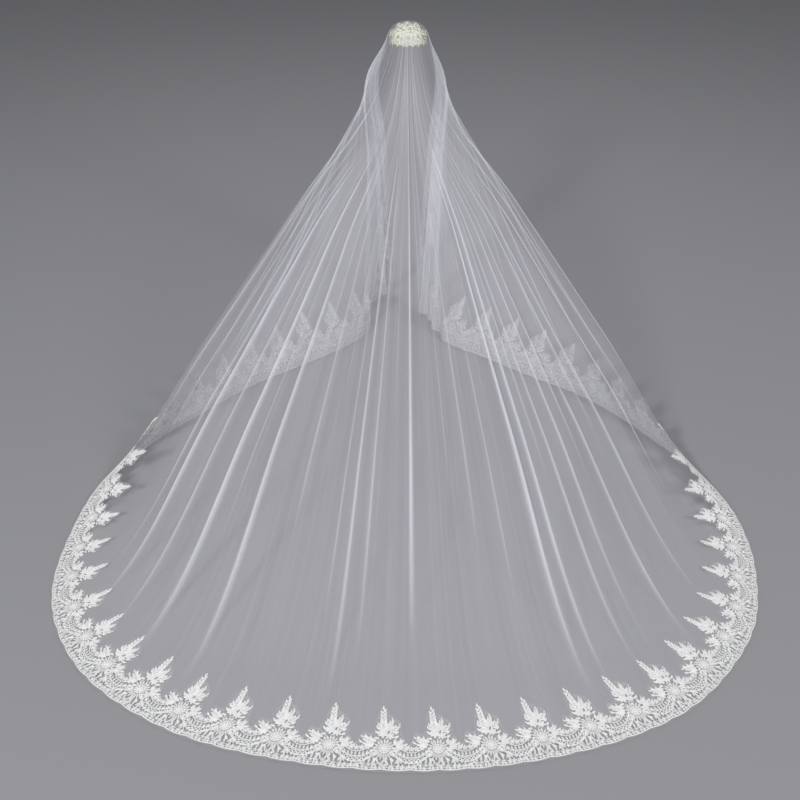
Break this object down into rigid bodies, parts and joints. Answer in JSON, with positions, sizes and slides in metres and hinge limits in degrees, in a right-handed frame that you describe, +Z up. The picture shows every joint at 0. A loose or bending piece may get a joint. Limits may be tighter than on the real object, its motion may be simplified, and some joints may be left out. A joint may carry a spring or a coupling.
{
  "type": "bridal veil",
  "caption": "Cathedral bridal veil of sheer tulle draped from a floral cap over the shoulders into a fanned train, with a peaked lace edging.",
  "frame": {"origin": "crown of the wearer's head, where the headpiece sits; the floor under the train is 1.684 m below", "axes": "+Y the way the wearer faces, so the train runs to -Y; +X the wearer's right; +Z up"},
  "size_m": [3.0277, 3.7494, 1.7242],
  "materials": {
    "tulle": "sheer soft white net",
    "lace": "matt off-white corded lace",
    "cap_base": "matt cream covered cap",
    "blossom": "soft cream fabric petals"
  },
  "bodies": {
    "root": {"tulle_crown": "tulle", "tulle_front_left": "tulle", "tulle_front_right": "tulle", "tulle_side_left": "tulle", "tulle_side_right": "tulle", "tulle_back": "tulle", "tulle_train": "tulle", "lace_front_left": "lace", "lace_front_right": "lace", "lace_side_left": "lace", "lace_side_right": "lace", "lace_train_left": "lace", "lace_train_right": "lace", "headpiece_cap": "cap_base", "blossom_01": "blossom", "blossom_02": "blossom", "blossom_03": "blossom", "blossom_04": "blossom", "blossom_05": "blossom", "blossom_06": "blossom", "blossom_07": "blossom", "blossom_08": "blossom", "blossom_09": "blossom", "blossom_10": "blossom", "blossom_11": "blossom", "blossom_12": "blossom", "blossom_13": "blossom", "blossom_14": "blossom", "blossom_15": "blossom", "blossom_16": "blossom", "blossom_17": "blossom"}
  },
  "joints": []
}
